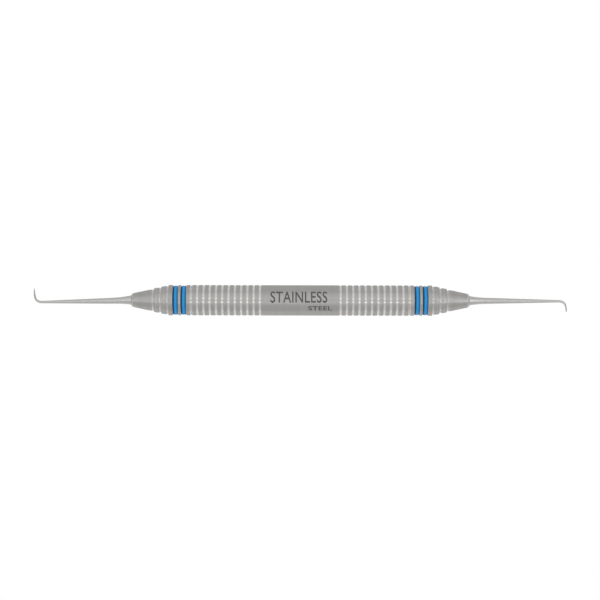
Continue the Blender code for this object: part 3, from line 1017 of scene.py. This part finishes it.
# %% [markdown]
# ## The laser mark
#
# Instruments carry a laser mark on the middle band. Here it says only what the metal is. Flat letters
# are made first, as a mesh in the plane. Long strokes would cut through the round handle, so the
# letters are sliced into narrow strips along their height, and then each point is rolled onto the
# cylinder: its height in the plane becomes an arc length round the axis.

# %% Laser mark
MARK_STRIPS = 24
MARK_SPACING = 1.06
MARK_FILM = 0.010 * MM
MARK_ROOT = 0.030 * MM
CAPITAL_SHARE = 0.70
CURVE_STEPS = 12
WELD = 0.001 * MM


def read_places(mesh):
    """A mesh's points as rows of X, Y and Z."""
    places = np.empty(len(mesh.vertices) * 3)
    mesh.vertices.foreach_get("co", places)
    return places.reshape(-1, 3)


def flat_letters(words, height, weight, width_share):
    """The letters as a flat bmesh, centred on the origin, sliced into strips of equal height.

    height is a capital's. weight is how far every stroke is swollen on each side. width_share makes
    the letters narrower or wider than the font's own.
    """
    curve = bpy.data.curves.new("mark_letters", "FONT")
    curve.body = words
    curve.size = height / CAPITAL_SHARE
    curve.offset = weight
    curve.space_character = MARK_SPACING
    curve.resolution_u = CURVE_STEPS
    writer = put_in_scene("mark_letters", curve)
    flat = bpy.data.meshes.new_from_object(writer.evaluated_get(bpy.context.evaluated_depsgraph_get()))
    bpy.data.objects.remove(writer)
    bpy.data.curves.remove(curve)
    places = read_places(flat)
    middle = (places.min(axis=0) + places.max(axis=0)) / 2
    flat.vertices.foreach_set("co", ((places - middle) * (width_share, 1, 1)).reshape(-1))
    letters = bmesh.new()
    letters.from_mesh(flat)
    bpy.data.meshes.remove(flat)
    bmesh.ops.remove_doubles(letters, verts=letters.verts, dist=WELD)
    top = places.max(axis=0)[1] - middle[1]
    for level in np.linspace(-top, top, MARK_STRIPS + 1)[1:-1]:
        everything = letters.verts[:] + letters.edges[:] + letters.faces[:]
        bmesh.ops.bisect_plane(letters, geom=everything, plane_co=(0, level, 0), plane_no=(0, 1, 0))
    return letters


def rolled_mark(name, words, height, weight, width_share, centre):
    """The letters as a thin film round the handle, closed on all sides. centre is (along, up)."""
    letters = flat_letters(words, height, weight, width_share)
    upper = bmesh.ops.extrude_face_region(letters, geom=letters.faces[:])
    raised = [item for item in upper["geom"] if isinstance(item, bmesh.types.BMVert)]
    bmesh.ops.translate(letters, verts=raised, vec=(0, 0, 1))
    bmesh.ops.recalc_face_normals(letters, faces=letters.faces[:])
    mesh = bpy.data.meshes.new(name)
    letters.to_mesh(mesh)
    letters.free()
    flat = read_places(mesh)
    angle = (flat[:, 1] + centre[1]) / HANDLE_RADIUS
    radius = HANDLE_RADIUS + np.where(flat[:, 2] > 0.5, MARK_FILM, -MARK_ROOT)
    rolled = np.stack([
        flat[:, 0] + centre[0],
        radius * np.sin(angle),
        AXIS_HEIGHT + radius * np.cos(angle),
    ], axis=-1)
    mesh.vertices.foreach_set("co", rolled.reshape(-1))
    mesh.update()
    size = rolled.max(axis=0) - rolled.min(axis=0)
    print(name, "is", round(size[0] / MM, 1), "mm long and", round(size[1] / MM, 1), "mm high")
    return put_in_scene(name, mesh)


# The name, words, height, weight, share of the font's width, and centre of each mark
MARKS = (
    ("band_mark", "STAINLESS", 3.6 * MM, 0.05 * MM, 0.71, (-0.46 * MM, 1.1 * MM)),
    ("band_mark_small", "STEEL", 1.5 * MM, 0.05 * MM, 1.3, (6.2 * MM, -2.6 * MM)),
)
for row in MARKS:
    mark = rolled_mark(*row)
    mark.data.materials.append(laser_mark)
    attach(mark, "root")

# %% [markdown]
# ## The stage
#
# A catalogue shows a small steel instrument on plain white, without a shadow. Two things are wanted
# from the floor: to the camera it is white, but in the steel it must not be a glaring white sheet,
# because the undersides of the round pieces would then melt into it. So the floor is a pale matt
# surface for every reflection, with a faint glow of its own that is a little stronger in front of the
# handle than behind it. Where the camera looks at it directly, it is plain white.
#
# Satin steel shows what stands round it as broad, soft tones. An even grey surround gives the tone of
# the lands. Two long strips overhead, one a little in front and one a little behind, lift the middle of
# the handle and leave a pair of bright points in each groove, one from each strip. A wide, dim softbox
# further back lights the back of the handle. A softbox over each end lights the steps and groove
# sides that face it, and the right one is the brighter.

# %% Floor
FLOOR_HALF = 3.0
FLOOR_PAINT = (0.80, 0.80, 0.80, 1)
FRONT_BOUNCE = 0.16
BACK_BOUNCE = 0.06
BOUNCE_BLEND = 4 * MM
FLOOR_GAP = 0.002 * MM
BLACK = (0, 0, 0, 1)
WHITE = (1, 1, 1, 1)


def make_floor():
    """A pale matt floor, just under the handle, that the camera sees as white."""
    height = AXIS_HEIGHT - HANDLE_RADIUS - FLOOR_GAP
    mesh = bpy.data.meshes.new("floor")
    corners = [(x * FLOOR_HALF, y * FLOOR_HALF, height) for x, y in ((-1, -1), (1, -1), (1, 1), (-1, 1))]
    mesh.from_pydata(corners, [], [(0, 1, 2, 3)])
    material, tree, shader, position = new_material("floor_white")
    direct = add_node(tree, "ShaderNodeLightPath").outputs["Is Camera Ray"]
    place = add_node(tree, "ShaderNodeSeparateXYZ", {"Vector": position}).outputs["Y"]
    bounce = spread(tree, place, -BOUNCE_BLEND, BOUNCE_BLEND, FRONT_BOUNCE, BACK_BOUNCE)
    glow = maths(tree, "MAXIMUM", direct, bounce)
    set_inputs(tree, shader, {
        "Roughness": 0.9,
        "Specular IOR Level": 0.0,
        "Base Color": blend_colour(tree, direct, FLOOR_PAINT, BLACK),
        "Emission Color": blend_colour(tree, glow, BLACK, WHITE),
        "Emission Strength": 1.0,
    })
    mesh.materials.append(material)
    return put_in_scene("floor", mesh)


make_floor()

# %% Lights
LIGHT_DISTANCE = 1.0
LIGHTS = {
    # name: (degrees towards the back, degrees towards the right, length, width, brightness)
    "front_strip": (-16, 0, 1.7, 0.11, 1.1),
    "back_strip": (14, 0, 1.7, 0.11, 0.65),
    "back_softbox": (38, 0, 1.7, 0.8, 0.17),
    "left_softbox": (0, -32, 0.5, 0.5, 0.22),
    "right_softbox": (0, 32, 0.5, 0.5, 0.5),
}


def soft_light(name, back, right, length, width, brightness):
    """A rectangular area light that faces the instrument. Its power is pi times area times brightness."""
    light = bpy.data.lights.new(name, "AREA")
    light.shape = "RECTANGLE"
    light.size = length
    light.size_y = width
    light.energy = math.pi * length * width * brightness
    lamp = put_in_scene(name, light)
    direction = Vector((math.tan(math.radians(right)), math.tan(math.radians(back)), 1.0))
    lamp.location = direction.normalized() * LIGHT_DISTANCE
    lamp.rotation_euler = (-lamp.location).to_track_quat("-Z", "Y").to_euler()


for name, settings in LIGHTS.items():
    soft_light(name, *settings)

WORLD_BRIGHTNESS = 0.60
world = bpy.data.worlds.new("studio")
bpy.context.scene.world = world
world.use_nodes = True
direct = add_node(world.node_tree, "ShaderNodeLightPath").outputs["Is Camera Ray"]
strength = spread(world.node_tree, direct, 0.0, 1.0, WORLD_BRIGHTNESS, 1.0)
backdrop = world.node_tree.nodes["Background"]
set_inputs(world.node_tree, backdrop, {"Color": WHITE, "Strength": strength})
print("lights:", [light.name for light in bpy.data.lights])

# %% [markdown]
# ## The camera
#
# The camera looks straight down with a long lens, so that a thin, straight object stays straight from
# one end to the other. The view is as wide as the instrument with an eighth added. It is a hair off
# centre and off square, as a hand-set camera is.

# %% Camera
VIEW_WIDTH = 188.6 * MM
LENS = 120.0
SENSOR = 36.0
VIEW_SHIFT = (-0.1 * MM, 0.13 * MM)
VIEW_TURN = math.radians(0.12)

camera_data = bpy.data.cameras.new("camera")
camera_data.lens = LENS
camera_data.sensor_width = SENSOR
camera = put_in_scene("camera", camera_data)
camera.location = (*VIEW_SHIFT, AXIS_HEIGHT + VIEW_WIDTH * LENS / SENSOR)
camera.rotation_euler = (0, 0, VIEW_TURN)
bpy.context.scene.camera = camera
bpy.context.scene.view_settings.view_transform = "Standard"
